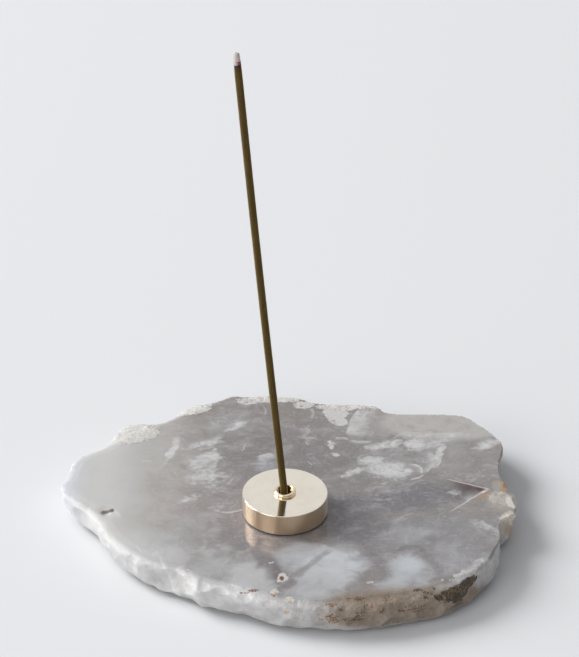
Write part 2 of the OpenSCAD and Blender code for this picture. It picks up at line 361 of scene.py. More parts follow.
# Folds of milk: start, end, bow, soft width, strength
FOLDS = [
    ((-19.7, 40.4), (-15.2, 46.6), -0.6, 5, 0.8), ((-35.3, 29.8), (-21.6, 38.3), -2.2, 4, 0.55),
    ((-32.3, 27.5), (-25.2, 30.2), -0.6, 2.5, 0.6), ((-33.2, 20.8), (-25.1, 26.8), 0.3, -4.5, 0.7),
    ((-32.7, 16.2), (-25, 22.8), 0.3, -3.5, 0.6), ((-25, 27), (-27, 14.5), 1.2, -4, 0.6),
    ((-34, 10.9), (-24.8, 13.8), 0.5, -3.5, 0.6), ((-16.1, 26.8), (-14.3, 31.5), -0.5, 1.3, 0.55),
    ((-10.8, 23.1), (-3.4, 25.7), 0.5, -5, 0.8), ((6.1, 34.9), (9.5, 43.1), -0.5, 3, 0.5),
    ((6.6, 33.8), (8.5, 30.6), 0.2, 1.3, 0.6), ((15.3, 30.2), (17.6, 33.9), 0.2, -2.2, 0.9),
    ((8.1, 20.5), (9.9, 17.3), 0.2, 0.9, 0.6), ((-7.2, 50), (-7.3, 57), -0.8, 1.6, 0.4),
    ((9.6, 47.9), (9.6, 56.3), -0.9, 1.4, 0.55), ((18, 35.4), (23.5, 34.8), 1.3, -1.8, 0.75),
    ((22.5, 35), (32.5, 34), -0.8, -2.2, 0.7), ((32.4, 29), (41.2, 33), 0.4, -3.2, 0.8),
    ((50.6, 38.9), (38.7, 34), -3.0, 2.6, 0.5), ((50, 38.9), (66, 38.9), 0.2, -3.2, 0.5),
    ((52.6, 27.4), (49.9, 11.8), 2.3, -3.2, 0.65), ((45.2, 19.5), (49.6, 12.5), 1.7, -1.7, 1.05),
    ((57.4, 30.5), (54.4, 16), 0.9, -1.8, 0.8), ((45.4, 8.4), (50.4, 12.4), -0.4, 1.2, 0.9),
    ((20, 10.8), (26.8, 14.8), 0.5, -2.6, 0.55), ((69.8, 29.6), (77.2, 33.8), 0.3, 3.6, 0.9),
    ((59, 0.2), (62.3, 1.6), 0.3, 1.2, 0.6), ((67.8, -16.6), (76.6, -25.2), 0.4, -3.4, 0.6),
    ((-26.2, -9.6), (-14, -9.2), -2.4, 1.3, 0.75), ((-44.4, -35.4), (-37.6, -60.5), 0.5, 2.2, 0.85),
    ((-51.9, -31.4), (-50, -36.6), 0.1, 0.9, 0.7), ((-38.9, 34.2), (-43.2, 20.8), 0.8, -2.4, 0.8),
    ((-52.4, 20.6), (-47.6, 20), 0.3, 1.4, 0.5), ((-20.8, 6), (-17.8, 10.6), -0.3, 1.6, 0.5),
    ((-35, -5.6), (-29, -1), 0.4, 2.4, 0.5), ((-23.5, 3), (-25.4, 9), 0.8, 2, 0.45),
    ((-34.8, -45.2), (-31, -57.6), 1.0, 2.2, 0.6), ((40, -15.5), (46, -12), 0.3, 1.2, 0.4),
    ((29.6, 57), (23.8, 36.6), -0.8, 10, 0.85), ((35, 52), (29, 42), -1.2, 4, 0.4),
    ((15.6, 50), (21, 44), -1.2, 3, 0.8), ((-72.5, -9), (-69, -19.5), 0.8, -2.4, 0.7),
    ((-62.5, -24), (-60, -34), 0.6, -2.2, 0.7), ((-55, -41), (-51.6, -47), 0.5, -2.4, 0.7),
    ((5.4, -62.5), (5, -67.5), -0.6, 0.8, 0.9), ((-60.6, -11), (-58.4, -14.4), 0.2, 1.5, 0.9),
    ((-27, 32.6), (-23.2, 37.4), -0.4, 2.6, 0.6),
]
# Milk-white crystal where the old cavities have healed: middle x, y, half width, half depth,
# turn, strength
HEALED = [
    (15.6, 32.4, 1.5, 2.2, -30, 0.9), (16.8, 30, 0.9, 2, 0, 0.8), (18, 25, 1.6, 1.5, 0, 0.85),
    (18.6, 53, 4.6, 5.6, 15, 1.6), (21, 47.2, 2.4, 3, 15, 1.4), (6.5, 58, 4.2, 2.6, 0, 1.0),
    (-14, 61, 4.4, 3, 0, 0.9), (33, 55, 4, 2, 0, 0.6), (-45, -36.5, 2, 1.4, 45, 0.9),
    (-35.5, -51, 2.6, 7, -30, 0.75), (-33, -56, 2.4, 3, 0, 0.9), (-17.7, -55.3, 1.6, 1.8, 45, 1.0),
    (-1, -50.6, 1.9, 3, 165, 1.1), (-4.7, -41.4, 1.1, 1.4, 30, 0.65), (-3.3, -58.4, 1.8, 1.7, 0, 1.0),
    (1.6, -62.8, 2, 2, 0, 1.0), (-0.6, -66.5, 1.6, 3, 30, 0.8), (3.4, -70.4, 3.2, 2, 150, 0.9),
    (6, -72, 0.9, 2.8, 165, 1.0), (28.9, -53, 1.7, 0.8, 0, 0.62), (61.5, -48.4, 6.5, 2.2, 45, 0.85),
    (67.3, -43, 4, 1.6, 30, 0.6), (54.5, -52, 4.5, 1, 0, 0.6), (77, -3.5, 5, 6, 60, 0.8),
]
# Chalky rind left on the rim: middle x, y, half width, half depth, turn
RIND = [
    (-54.4, 38.8, 10, 6.6, 30), (-33.5, 55.5, 8, 3.6, 34), (24, 57, 15, 3.2, -6),
    (-2, 62.5, 17, 2.6, -4),
]
# Rust on the wall: middle x, y, half width, half depth, strength
RUST = [
    (-13.6, -59, 2.4, 0.9, 0.9), (-10.5, -57.8, 2.6, 1.2, 1.1), (-3.9, -60, 1.2, 1.4, 1.1),
    (15.5, -66, 3, 1.5, 1.0), (21.4, -62.6, 2.4, 1.2, 1.0), (25, -62, 2.8, 1.7, 1.1),
    (19, -68.6, 1.6, 1.4, 0.9), (28.5, -66, 2.4, 5, 0.8), (16.2, -73.6, 4, 4, 0.95),
    (23.5, -74, 5, 2, 1.1), (26, -71.5, 2.6, 3.2, 1.0), (12.2, -74.6, 1.2, 1, 0.9),
    (45.3, -57.4, 2.2, 1.7, 1.2), (48, -58.7, 1.6, 1.2, 1.2), (47.9, -61.4, 1.6, 1.5, 1.1),
    (50, -59.5, 0.9, 0.9, 1.2), (51, -56.4, 1.3, 1.1, 1.1), (39.7, -69, 2, 1.6, 1.1),
    (32.6, -69, 1.4, 2.4, 0.9), (44, -67.5, 6, 4.5, 0.8), (54, -63, 3.4, 2.6, 1.0),
    (35, -63, 5, 4, 0.65),
]
# The dark scab of old rock at the front right: middle x, y, half length, half width, turn
SCAB = [
    (62.4, -54, 6.4, 2.1, 60), (58.6, -59.4, 5.6, 3.6, 60), (52.4, -61.4, 2.2, 1.7, 120),
    (56, -58.6, 3, 1.6, 15),
]
# The split in the right-hand end: its three corners
SPLIT = [(59, 8.6), (72, 3), (60, -9)]


class Stone(Finish):
    """Chalcedony: a polished, translucent face with milky clouds, and a duller broken wall.

    Its pattern is drawn on the plane of the face and runs on down the wall.
    """

    def __init__(self, owner):
        super().__init__(owner)
        spot, other = self.spot(), self.spot(0.31, 0.17, 0.23)
        self.tone, self.fine, self.other = GREY, spot, other
        x, y, z = self.split(self.place())
        self.depth = FACE_HEIGHT - z
        self.wall = self.smooth(self.depth, 0.15, 1.6)
        self.under = self.smooth(z, SAWN_HEIGHT + 0.4, SAWN_HEIGHT)
        self.face = self.joined(x - HOLDER.x, y - self.depth * VEIN_DIP, 0)

        # The face that the pattern lies on has flowed a little, so that no edge of it is regular
        def swirl(*lumps):
            return self.joined(self.cloud(spot, *lumps) - 0.5, self.cloud(other, *lumps) - 0.5, 0)

        self.flow, self.curl = swirl(13 * MM, 2), swirl(3.4 * MM, 3, 0.55)
        self.near = self.face + self.flow * 2.4 + self.curl * 1.3
        self.drawn = self.face + self.flow * 8.0
        self.torn = self.face + self.flow * 5.0 + self.curl * 2.2
        self.across, self.deep, _ = self.split(self.drawn)

        # Noises of several sizes, which many of the marks share
        self.mottle = self.cloud(other, 7 * MM, 3, 0.5, Distortion=0.6)
        self.ragged = (self.mottle - 0.5) * 0.9
        self.fleck = self.cloud(spot, 1.3 * MM, 3, 0.6)
        grainwise = self.node("ShaderNodeMapping", sockets={
            "Vector": spot, "Rotation": (0, 0, math.radians(-34)), "Scale": (0.42, 1, 1)})
        self.silk = self.cloud(grainwise, 3.2 * MM, 3, 0.55, Distortion=1.1)
        self.fibres = self.cloud(spot, 4.2 * MM, 4, 0.58, Distortion=1.8)
        self.lumps = self.cloud(spot, 4.5 * MM, 4, 0.6)
        self.grit = self.cloud(spot, 0.6 * MM, 4, 0.7)
        self.grain = self.cells(spot, 0.55 * MM)
        self.crumbs = self.cloud(spot, 0.9 * MM, 5, 0.75)
        self.torn_edge = (self.crumbs - 0.5) * 1.5
        self.facets = self.split(self.cells(spot, 1.3 * MM, "Color"))[0]

    def cover(self, share, colour):
        """Lays a share of a colour over the stone's tone."""
        self.tone = self.blend(share, self.tone, colour)

    def patch(self, place, soft, strength=1.0, torn=0):
        """An oval mark with a soft edge, which is ragged by a share of the crumbs."""
        mark = self.oval(self.near, *place)
        if torn:
            mark = mark + self.torn_edge * torn
        return self.smooth(mark, 0, soft, strength)

    def ground(self):
        """The grey stone with its broad regions, and the milky clouds and veins in it. The regions and the
        pale left end are partly painted reflection, paler to the left and darker to the right.
        """
        # Paler toward the left end: partly the stone's own tone, partly painted reflection of bright light
        # in the polish
        self.cover(self.smooth(self.across, -18, -44, 0.95), mineral(178, 173, 169))
        for *place, soft, strength, colour in REGIONS:
            self.cover(self.smooth(self.oval(self.drawn, *place), 0, soft, strength), mineral(*colour))
        self.cover(self.smooth(self.across, -42, -66), mineral(205, 204, 202))
        self.cover(self.smooth(self.across, -68, -80), mineral(208, 210, 215))
        for *place, soft, strength, colour in CLOUDS:
            mark = self.oval(self.near, *place) + self.ragged
            self.cover(self.smooth(mark, 0, soft, strength), mineral(*colour))

        # Soft mottling and silky streaks, least at the clear left end
        clear = self.smooth(self.across, -60, -34, 0.8) + 0.2
        for field, low, high, strength, colour in (
                (self.mottle, 0.48, 0.74, 0.24, (202, 200, 202)),
                (self.mottle, 0.52, 0.26, 0.2, (108, 102, 103)),
                (self.silk, 0.52, 0.75, 0.13, (210, 208, 209))):
            self.cover(self.smooth(field, low, high, strength) * clear, mineral(*colour))
        for vein in VEINS:
            self.cover(self.vein(self.near, *vein), mineral(128, 124, 128))

    def milk(self):
        """Feathery wisps, dense in their ovals and torn out along the fibres, then folds and thin veils."""
        ruffled = self.face + self.flow * 2.4 + self.curl * 4.2
        wisp = self.densest(
            self.smooth(self.oval(ruffled, *place), -1.9, 1.1, strength) for *place, strength in WISPS)
        wisp = self.smooth(
            wisp * 0.8 + self.fibres * 0.9 + self.silk * 0.6 + self.fleck * 0.25, 1.12, 1.9, 0.95)
        folded = self.densest(self.fold(self.near, *fold) for fold in FOLDS)
        folded = folded * (
            self.smooth(self.fibres + self.silk * 0.6 + self.fleck * 0.3, 0.72, 1.1, 0.5) + 0.5)
        sheet = self.cloud(self.other, 15 * MM, 2, 0.5, Distortion=1.6)
        pleats = self.maths("FRACT", sheet * 6.5)
        veil = self.smooth(pleats, 0.55, 0.05, 0.2) * self.smooth(pleats, 0, 0.05)
        veil = veil * self.smooth(self.fibres, 0.44, 0.68) * self.smooth(self.across, -56, -40)
        milky = self.larger(wisp, self.larger(folded * 0.9, veil))
        self.cover(milky, mineral(217, 216, 217))
        self.cover(self.smooth(self.fleck, 0.35, 0.7, 0.1), mineral(196, 194, 195))

    def broken_wall(self):
        """The wall is waxy and pale, its pale tone partly painted light that lifts it where it faces away
        from the lamps, and grimy with specks of rust at the front right.
        """
        # The pale waxy tone is partly painted light: it brightens the wall where it turns away from the
        # lamps
        waxy = self.blend(self.smooth(self.lumps, 0.3, 0.7), mineral(208, 207, 207), mineral(238, 237, 237))
        self.cover(self.wall * (self.smooth(self.across, -58, -42, 0.3) + 0.28), waxy)
        self.cover(self.patch((61.5, -62, 7, 4.5, 60), 0.8, 0.7), mineral(204, 188, 178))
        rusty = self.smooth(self.oval(self.near, 40, -64, 36, 15, 15) + self.ragged * 0.4, 0, 0.5)
        rusty = rusty * self.smooth(self.deep - self.across * 0.12, -59, -65)
        grimy = self.blend(self.smooth(self.lumps, 0.2, 0.8), mineral(132, 117, 100), mineral(162, 148, 132))
        self.cover(rusty * self.smooth(self.across, -2, 24, 0.85), grimy)
        rust = self.densest(self.patch(place, 0.8, strength) for *place, strength in RUST)
        self.cover(self.smooth(rust, 0.2, 1, 0.3), mineral(176, 154, 130))
        stain = self.blend(self.smooth(self.lumps, 0.42, 0.58), shade(80, 58, 42), shade(128, 88, 58))
        stain = self.blend(self.smooth(self.across, 36, 44, 0.8), stain, shade(84, 70, 56))
        self.cover(self.smooth(rust * 0.21 + self.grit, 0.67, 0.73, 0.95), stain)
        self.cover(self.smooth(rusty * 0.14 + self.grit, 0.69, 0.78, 0.6), shade(104, 84, 64))

    def crusts(self):
        """The scab of old rock, healed crystal with its core and amber specks, and the chalky rind."""
        scab = self.densest(self.oval(self.near, *place) for place in SCAB)
        self.scab = self.smooth(scab + (self.facets - 0.5) * 0.5 + self.torn_edge * 0.35, 0.02, 0.12)
        crust = self.blend(self.smooth(self.grit, 0.42, 0.62), shade(44, 35, 26), shade(128, 108, 74))
        crust = self.blend(self.smooth(self.lumps, 0.42, 0.6, 0.7), crust, shade(62, 50, 37))
        self.cover(self.scab, crust)

        rind = self.densest(self.oval(self.torn, *place) for place in RIND)
        self.rind = self.smooth(rind + self.torn_edge + self.ragged * 1.8, 0.1, 0.4)
        healed = self.densest(
            self.smooth(self.oval(self.near, *place), -0.6, 0.7, strength) for *place, strength in HEALED)
        self.healed = self.smooth(
            healed + self.torn_edge * 0.7 + (self.facets - 0.5) * 0.6 + (self.fibres - 0.5) * 1.2, 0.5, 0.85)
        crystal = self.blend(self.grain, mineral(222, 220, 218), mineral(190, 187, 184))
        self.cover(self.healed, crystal)
        core = self.oval(self.near, -1.2, -50.9, 1.0, 1.7) + self.torn_edge
        self.cover(self.smooth(core, 0.1, 0.6), shade(116, 80, 62))
        for amber in ((-4.2, -59.9, 1.1, 0.8), (0.6, -69.6, 1.4, 1.1), (1.8, -64, 1.2, 0.7)):
            speck = self.oval(self.near, *amber) + self.torn_edge
            self.cover(self.smooth(speck, 0.1, 0.8, 0.7), shade(186, 142, 88))

        chalk = self.blend(
            self.smooth(self.crumbs, 0.3, 0.66), mineral(184, 178, 171), mineral(230, 228, 225))
        self.cover(self.rind, chalk)
        reddish = self.rind * self.smooth(self.grit, 0.62, 0.7, 0.7) * self.smooth(self.across, 4, 12)
        self.cover(reddish, mineral(120, 88, 76))

    def split_floor(self):
        """The split has a painted shadow on its sunken floor, darkest under the upper lip, and painted
        highlights along its pale lips, and runs out to the left.
        """
        close = self.face + self.curl * 0.5
        (ax, ay), (bx, by), (cx, cy) = SPLIT
        upper = Vector((by - ay, ax - bx)).normalized() * -1
        lower = Vector((cy - by, bx - cx)).normalized() * -1
        below = 0 - self.dot(close - (ax, ay, 0), (upper.x, upper.y, 0))
        above = 0 - self.dot(close - (bx, by, 0), (lower.x, lower.y, 0))
        sunk = self.smooth(below, 0, 0.5) * self.smooth(above, 0, 0.5) * self.smooth(self.across, 57, 63)
        # Painted shadow on the sunken floor, darkest just under the upper lip
        shaded = sunk * self.smooth(below, 9, 0) * self.smooth(self.across, 55, 66)
        self.cover(shaded, mineral(114, 102, 102))
        ends = self.smooth(self.across, 57, 60) * self.smooth(self.across, 74, 72)
        # Painted highlights along both lips of the split
        lip_highlights = self.larger(
            self.smooth(self.unsigned(below + 0.3), 0.45, 0.1) * self.smooth(above, -1, 0),
            self.smooth(self.unsigned(above + 0.3), 0.45, 0.1) * self.smooth(below, -1, 0))
        self.cover(lip_highlights * ends * 0.6, mineral(212, 204, 196))

    def broken_corner(self):
        """The broken corner beyond the split, crumbly and stained amber, its pale wall partly painted light
        where it faces away from the lamps, and the stained rim at the back.
        """
        crumbly = self.blend(
            self.smooth(self.crumbs, 0.35, 0.65), mineral(206, 196, 180), mineral(236, 230, 220))
        crystal = self.blend(self.grain, mineral(232, 230, 224), mineral(198, 194, 184))
        # The pale crumbly and crystal tones of the right-hand wall are partly the stone's own cream, partly
        # painted light on a wall turned away from the lamps
        for place, soft, strength, torn, colour in (
                ((70.6, -1.6, 4.5, 2.2, 40), 1, 0.5, 0, mineral(178, 148, 116)),
                ((77, -5, 7, 8), 0.9, 0.7, 0, mineral(180, 172, 163)),
                ((79.5, -19, 5, 9), 0.6, 0.85, 0.5, crumbly),
                ((81, -5, 3, 4.6), 0.5, 0.9, 0.7, crystal),
                ((75.6, 5, 2.6, 4.4), 0.9, 0.35, 0.7, mineral(202, 192, 172)),
                ((78.2, 5.6, 1.7, 6), 0.9, 0.8, 0.6, mineral(186, 146, 96)),
                ((38, 57.4, 12, 1.6), 0.9, 0.55, 0.5, mineral(178, 150, 122)),
                ((79, -22.5, 2.4, 4.4), 0.8, 0.55, 0, mineral(190, 152, 118))):
            self.cover(self.patch(place, soft, strength, torn), colour)

    def pit_at_left(self):
        """The small double pit at the left."""
        pit = self.larger(self.oval(self.near, -63.4, -11.2, 1.5, 1.1, 15),
                          self.oval(self.near, -61.5, -10.6, 1.1, 1.1))
        self.pit = self.smooth(pit + self.torn_edge * 1.3, 0, 0.35)
        hollow = self.blend(
            self.smooth(self.across, -64, -61), mineral(160, 150, 140), mineral(112, 102, 92))
        self.cover(self.pit, hollow)

    def finished(self):
        """Lays every mark over the ones before it, and polishes the face."""
        for lay in (self.ground, self.milk, self.broken_wall, self.crusts, self.split_floor,
                    self.broken_corner, self.pit_at_left):
            lay()
        self.cover(self.under, mineral(186, 182, 178))
        crusted = self.larger(self.rind, self.larger(self.scab, self.pit))
        rough = self.larger(self.smooth(self.depth, 0.05, 0.6), crusted)
        ripple = self.cloud(self.fine, 9 * MM, 1) * (1 - rough) * 0.05
        return self.surface(
            Base_Color=self.tone, Roughness=0.13 + rough * 0.36 + self.healed * 0.08, IOR=1.54,
            Normal=self.relief(ripple + (self.fleck + self.crumbs) * rough * 0.4, 0.5),
            Subsurface_Weight=0.5, Subsurface_Radius=(1.0, 0.97, 0.93), Subsurface_Scale=3.5 * MM)


# ---- meshes -------------------------------------------------------------------------------------

def placed(name, data):
    """An object of the scene, made of a mesh, a lamp or a lens."""
    made = bpy.data.objects.new(name, data)
    bpy.context.scene.collection.objects.link(made)
    return made


def piece(name, mesh, finish, body, node):
    """Puts a mesh in the scene as a piece that rides on a body and stands for a node of the frame."""
    made = placed(name, mesh)
    mesh.materials.clear()
    mesh.materials.append(finish)
    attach(made, body)
    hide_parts(node)


def mesh_from(name, points, faces):
    """A smooth mesh in metres from points in millimetres."""
    mesh = bpy.data.meshes.new(name)
    mesh.from_pydata([tuple(Vector(p) * MM) for p in points], [], faces)
    mesh.validate()
    mesh.shade_smooth()
    return mesh


def modified(mesh, name, kind, **settings):
    """The mesh after one modifier."""
    holder = placed(name, mesh)
    change = holder.modifiers.new(kind, kind)
    for key, value in settings.items():
        setattr(change, key, value)
    changed = bpy.data.meshes.new_from_object(holder.evaluated_get(bpy.context.evaluated_depsgraph_get()))
    changed.name = name
    bpy.data.objects.remove(holder)
    return changed


def points_of(mesh):
    points = np.empty(len(mesh.vertices) * 3, np.float32)
    mesh.vertices.foreach_get("co", points)
    return points.reshape(-1, 3).astype(float) / MM


def set_points(mesh, points):
    mesh.vertices.foreach_set("co", (points * MM).astype(np.float32).ravel())
    mesh.update()


def normals_of(mesh):
    normals = np.empty(len(mesh.vertices) * 3, np.float32)
    mesh.vertex_normals.foreach_get("vector", normals)
    return normals.reshape(-1, 3).astype(float)


def eased(value, low, high):
    """0 where value is at low or before it, 1 at high or beyond it, with an easy curve between."""
    share = np.clip((value - low) / (high - low), 0, 1)
    return share * share * (3 - 2 * share)


def rough_noise(points, size, octaves, offset):
    """Fractal noise at each point, about -1 to 1."""
    shift = Vector((offset, 2 * offset, 3 * offset))
    return np.array([noise.fractal(Vector(p) / size + shift, 0.9, 2.1, octaves) for p in points])


# ---- the slice of stone -------------------------------------------------------------------------

# Shell-shaped scars of old chips round the wall: heading, height on the wall, radius, depth
CHIPS = [
    (236, 0.9, 9, 1.2), (229, 0.86, 8, 0.8), (241, 0.85, 7, 0.8), (247, 0.82, 9, 0.6),
    (221, 0.85, 7, 0.4), (214, 0.83, 8, 0.4), (199, 0.86, 9, 0.4), (256, 0.84, 7, 0.6),
    (345, 0.85, 8, 0.6), (358, 0.9, 6, 0.7), (232, 0.75, 14, 0.9), (225, 0.3, 10, 0.7),
    (238, 0.2, 9, 0.7), (244, 0.55, 20, 0.8), (215, 0.5, 12, 0.7), (203, 0.4, 9, 0.6),
    (252, 0.3, 12, 0.7), (262, 0.15, 9, 0.8), (272, 0.3, 14, 0.7), (281, 0.1, 8, 0.9),
    (290, 0.35, 12, 0.8), (299, 0.15, 9, 0.9), (308, 0.4, 14, 0.8), (317, 0.2, 10, 0.8),
    (328, 0.5, 16, 0.8), (338, 0.3, 10, 0.6), (348, 0.6, 8, 0.8), (355, 0.7, 6, 0.9), (2, 0.5, 7, 0.9),
    (12, 0.3, 10, 0.7), (25, 0.5, 16, 0.6), (40, 0.4, 14, 0.7), (55, 0.5, 12, 0.7), (75, 0.3, 14, 0.8),
    (95, 0.5, 10, 0.9), (115, 0.3, 14, 0.8), (135, 0.5, 12, 0.8), (155, 0.4, 16, 0.7),
    (172, 0.3, 12, 0.6), (188, 0.5, 14, 0.6),
]

# Size of the stone's first mesh, how often its wall is smoothed, and the share of its faces that is kept
VOXEL, PASSES, KEPT = ((0.55, 16, 0.22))
# How far the face falls as it rolls over its left rim, how far inside the rim that begins,
# how deep on the wall it ends, and between which x it dies out
ROLL_DROP, ROLL_WIDTH, ROLL_DEPTH = 1.1, 4.5, 4.0
ROLL_TO, ROLL_FROM = -30, 5
# How much of that the front rim has, and between which y it dies out
FRONT_SHARE, FRONT_TO, FRONT_FROM = 0.45, -50, -36
# How nearly level a face of the polish or of the sawn underside is
LEVEL = 0.9995


def soften_wall(mesh, points, flat):
    """Rounds off the facets of the wall, and leaves both sawn faces flat."""
    edges = np.empty(len(mesh.edges) * 2, np.int32)
    mesh.edges.foreach_get("vertices", edges)
    a, b = edges.reshape(-1, 2).T
    count = np.bincount(a, minlength=len(points)) + np.bincount(b, minlength=len(points))
    for _ in range(PASSES):
        total = np.zeros_like(points)
        np.add.at(total, a, points[b])
        np.add.at(total, b, points[a])
        points[~flat] = (0.5 * points + 0.5 * total / count[:, None])[~flat]


def shape_right_end(points, depth):
    """The face reaches out over a steeper wall, and the split's floor runs out on it without an edge."""
    x, y = points[:, 0], points[:, 1]
    reach = 1.2 * eased(y, -34, -26) * eased(y, 38, 32) + 1.4 * eased(y, -16, -12) * eased(y, 5, 2)
    points[:, 0] += reach * eased(x, 65, 75) * (1 - eased(depth, 0, 5))
    floor = (np.abs(y) < 12) & (x > 55) & (x < 67) & (depth < 3)
    points[floor, 2] += ((FACE_HEIGHT - points[:, 2]) * (1 - eased(x, 57, 67)))[floor]


def chip_wall(mesh, points, flat):
    """Hollows the old chips out of the wall. The high ones bite into the rim of the face."""
    surface = BVHTree.FromPolygons([Vector(p) for p in points], [tuple(p.vertices) for p in mesh.polygons])
    thickness = FACE_HEIGHT - SAWN_HEIGHT
    for heading, height, radius, bite in CHIPS:
        out = Vector((*cos_sin(heading), 0))
        start = out * 200 + UP * (SAWN_HEIGHT + height * thickness)
        hit, facing, _, _ = surface.ray_cast(start, -out)
        centre = np.array(hit + facing * (radius - bite))
        away = points - centre
        reach = np.linalg.norm(away, axis=1)
        inside = (reach < radius) & (~flat | (height > 0.8))
        flat &= ~inside
        points[inside] = centre + away[inside] / reach[inside, None] * radius


def carve_grain(points, normals, flat, depth, rise):
    """The broken grain of the wall, rougher in the rind and the rust, and smoother where the face rolls."""
    wall = ~flat
    carved = points[wall]
    x, y = carved[:, 0], carved[:, 1]
    rind = eased(x, -44, -52) * eased(y, 26, 34) + eased(y, 44, 50) * eased(x, 44, 36)
    rusty = eased(x, 0, 20) * eased(y, -40, -48)
    waxy = eased(x, 5, -25) * eased(y, 30, 10)
    rough = 0.35 - 0.25 * waxy + 0.65 * np.clip(rind + rusty, 0, 1)
    fade = eased(depth[wall], 0.1, 1.4) * (0.3 + 0.7 * eased(rise[wall], 0, 1.0))
    lift = (rough_noise(carved, 7, 2, 3) * (0.4 - 0.2 * waxy) + rough_noise(carved, 2.2, 3, 7) * 0.3 * rough
            + rough_noise(carved, 0.8, 2, 11) * 0.16 * rough) * fade
    points[wall] = carved + normals[wall] * lift[:, None]
    points[:, 2] = np.clip(points[:, 2], SAWN_HEIGHT, FACE_HEIGHT)
    points[flat & (rise > 5), 2] = FACE_HEIGHT
    points[flat & (rise < 5), 2] = SAWN_HEIGHT


def roll_over(points):
    """Along the left and the front left the polished face rolls over into the wall."""
    depth = FACE_HEIGHT - points[:, 2]
    brink = points[(depth > 0.3) & (depth < 1.2)]
    tree = KDTree(len(brink))
    for i, point in enumerate(brink):
        tree.insert(point, i)
    tree.balance()
    x, y = points[:, 0], points[:, 1]
    amount = np.maximum(1 - eased(x, ROLL_TO, ROLL_FROM),
                        FRONT_SHARE * (1 - eased(y, FRONT_TO, FRONT_FROM)) * (1 - eased(x, 58, 70)))
    for i in np.flatnonzero((depth < ROLL_DEPTH) & (amount > 0)):
        inwards = tree.find(points[i])[2] / ROLL_WIDTH if depth[i] < 0.3 else 0
        fall = max(0, 1 - inwards) ** 2 * (1 - depth[i] / ROLL_DEPTH) ** 2
        points[i, 2] -= ROLL_DROP * fall * amount[i]


def raise_rind(points, normals, rise):
    """The rind stands proud of the face, in small crystals."""
    share = np.zeros(len(points))
    for x, y, wide, high, turn in RIND:
        cosine, sine = cos_sin(turn)
        dx, dy = points[:, 0] - HOLDER.x - x, points[:, 1] - y + (points[:, 2] - FACE_HEIGHT) * VEIN_DIP
        along, off = (dx * cosine + dy * sine) / wide, (dy * cosine - dx * sine) / high
        share = np.maximum(share, 1 - along ** 2 - off ** 2)
    crusted = (share > 0) & (rise > 1)
    knobs = rough_noise(points[crusted], 2.6, 3, 5)
    crystals = np.array([noise.voronoi(Vector(p) / 1.1)[0][0] for p in points[crusted]])
    height = 0.35 + 0.35 * eased(points[crusted, 0], -45, -20)
    lift = eased(share[crusted], 0.02, 0.6) * np.clip(0.42 + 0.5 * knobs - 0.5 * crystals, 0, 1.2) * height
    points[crusted] += (normals[crusted] * 0.6 + np.array([0, 0, 0.6])) * lift[:, None]


def flatten_sawn_faces(mesh):
    """Shades the polish and the sawn underside flat, and all that rolls or breaks away smooth."""
    mesh.shade_smooth()
    points = points_of(mesh)
    for face in mesh.polygons:
        level = points[list(face.vertices), 2]
        rolled = face.center.x / MM < ROLL_FROM or face.center.y / MM < FRONT_FROM
        polished = level.min() > FACE_HEIGHT - (0.01 if rolled else 1)
        if (polished or level.max() < SAWN_HEIGHT + 0.5) and abs(face.normal.z) > LEVEL:
            face.use_smooth = False


def stone_mesh():
    """The slab of the frame, remeshed finely, with the broken grain of its wall carved in."""
    mesh = modified(frame["nodes"]["stone_slab"].data.copy(), "chalcedony_slice", "REMESH",
                    mode="VOXEL", voxel_size=VOXEL * MM)
    points = points_of(mesh)
    depth, rise = FACE_HEIGHT - points[:, 2], points[:, 2] - SAWN_HEIGHT
    flat = (depth < VOXEL * 0.35) | (rise < VOXEL * 0.35)
    soften_wall(mesh, points, flat)
    shape_right_end(points, depth)
    chip_wall(mesh, points, flat)
    set_points(mesh, points)
    normals = normals_of(mesh)
    carve_grain(points, normals, flat, depth, rise)
    roll_over(points)
    raise_rind(points, normals, rise)
    set_points(mesh, points)
    mesh = modified(mesh, "chalcedony_slice", "DECIMATE", ratio=KEPT)
    flatten_sawn_faces(mesh)
    return mesh


stone = Stone(bpy.data.materials.new("chalcedony_stone")).finished()
piece("chalcedony_slice", stone_mesh(), stone, "slab", "stone_slab")


# ---- brass holder -------------------------------------------------------------------------------

# A point of a turned outline that is nearer to the axis than this lies on it
ON_AXIS = 1e-6


def turned(name, outline, centre, segments=192):
    """A closed lathe shape from (radius, height) points, which run up the outside and back down the axis."""
    points, faces, rings = [], [], []
    for radius, height in outline:
        if radius < ON_AXIS:
            rings.append([len(points)] * segments)
            points.append((centre.x, centre.y, height))
            continue
        rings.append(list(range(len(points), len(points) + segments)))
        for step in range(segments):
            angle = 2 * math.pi * step / segments
            points.append((centre.x + radius * math.cos(angle), centre.y + radius * math.sin(angle), height))
    pairs = list(zip(rings, rings[1:]))
    if outline[0][0] > ON_AXIS:
        pairs.append((rings[-1], rings[0]))
    for lower, upper in pairs:
        for step in range(segments):
            after = (step + 1) % segments
            corners = list(dict.fromkeys((lower[step], lower[after], upper[after], upper[step])))
            if len(corners) > 2:
                faces.append(corners)
    mesh = mesh_from(name, points, faces)
    mesh.set_sharp_from_angle(angle=math.radians(40))
    return mesh


def arc(centre_radius, centre_height, radius, start, end, steps):
    """Points on an arc of a turned outline, by angles in degrees from level."""
    turns = [math.radians(start + (end - start) * i / steps) for i in range(steps + 1)]
    return [(centre_radius + radius * math.cos(t), centre_height + radius * math.sin(t)) for t in turns]


